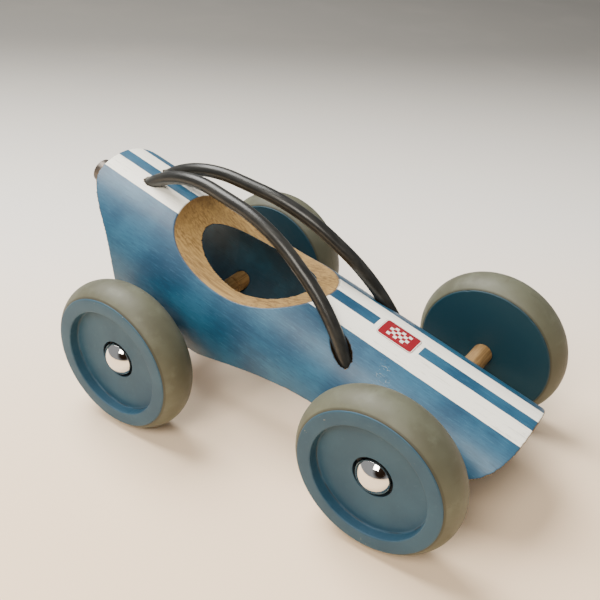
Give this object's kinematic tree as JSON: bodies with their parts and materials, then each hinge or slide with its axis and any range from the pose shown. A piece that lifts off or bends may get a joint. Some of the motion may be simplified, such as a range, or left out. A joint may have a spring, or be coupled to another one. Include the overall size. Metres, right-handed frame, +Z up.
{
  "type": "push-along toy racing car",
  "caption": "Push-along toy racing car with a bamboo tube body, two bent grip rods over an open cockpit, rubber-tyred wooden wheels and a tail pipe.",
  "frame": {"origin": "centre of the car's footprint box, on the surface it stands on", "axes": "+X from tail to nose, +Y to the car's left, +Z up"},
  "size_m": [0.2412, 0.1372, 0.1049],
  "materials": {
    "blue_paint": "blue lacquer with white stripes over bamboo, bare at the sawn edges",
    "label_film": "printed adhesive film",
    "pipe_paint": "satin grey-brown metallic",
    "beech": "bare sanded hardwood",
    "gunmetal_lacquer": "semi-gloss gun-metal grey",
    "axle_steel": "bright drawn steel",
    "wheel_paint": "matt blue-grey paint",
    "tyre_rubber": "aged grey-olive rubber",
    "cap_chrome": "mirror chrome plate"
  },
  "bodies": {
    "chassis": {"body_shell": "blue_paint", "hood_label": "label_film", "tail_pipe": "pipe_paint", "tail_pipe_block": "beech", "rod_left": "gunmetal_lacquer", "rod_right": "gunmetal_lacquer", "axle_sleeve_front_left": "beech", "axle_sleeve_front_right": "beech", "axle_sleeve_rear_left": "beech", "axle_sleeve_rear_right": "beech"},
    "front_axle": {"axle_front": "axle_steel", "hub_cap_front_left": "cap_chrome", "hub_cap_front_right": "cap_chrome"},
    "front_left_wheel": {"wheel_disc_front_left": "wheel_paint", "tyre_front_left": "tyre_rubber"},
    "front_right_wheel": {"wheel_disc_front_right": "wheel_paint", "tyre_front_right": "tyre_rubber"},
    "rear_axle": {"axle_rear": "axle_steel", "hub_cap_rear_left": "cap_chrome", "hub_cap_rear_right": "cap_chrome"},
    "rear_left_wheel": {"wheel_disc_rear_left": "wheel_paint", "tyre_rear_left": "tyre_rubber"},
    "rear_right_wheel": {"wheel_disc_rear_right": "wheel_paint", "tyre_rear_right": "tyre_rubber"}
  },
  "joints": [
    {"name": "front_axle_spin", "type": "hinge", "parent": "chassis", "child": "front_axle", "pos_m": [0.0795, 0, 0.036], "axis": [0, 1, 0], "continuous": true},
    {"name": "front_left_wheel_spin", "type": "hinge", "parent": "front_axle", "child": "front_left_wheel", "pos_m": [0.0795, 0, 0.036], "axis": [0, 1, 0], "continuous": true},
    {"name": "front_right_wheel_spin", "type": "hinge", "parent": "front_axle", "child": "front_right_wheel", "pos_m": [0.0795, 0, 0.036], "axis": [0, 1, 0], "continuous": true},
    {"name": "rear_axle_spin", "type": "hinge", "parent": "chassis", "child": "rear_axle", "pos_m": [-0.048, 0, 0.036], "axis": [0, 1, 0], "continuous": true},
    {"name": "rear_left_wheel_spin", "type": "hinge", "parent": "rear_axle", "child": "rear_left_wheel", "pos_m": [-0.048, 0, 0.036], "axis": [0, 1, 0], "continuous": true},
    {"name": "rear_right_wheel_spin", "type": "hinge", "parent": "rear_axle", "child": "rear_right_wheel", "pos_m": [-0.048, 0, 0.036], "axis": [0, 1, 0], "continuous": true}
  ]
}
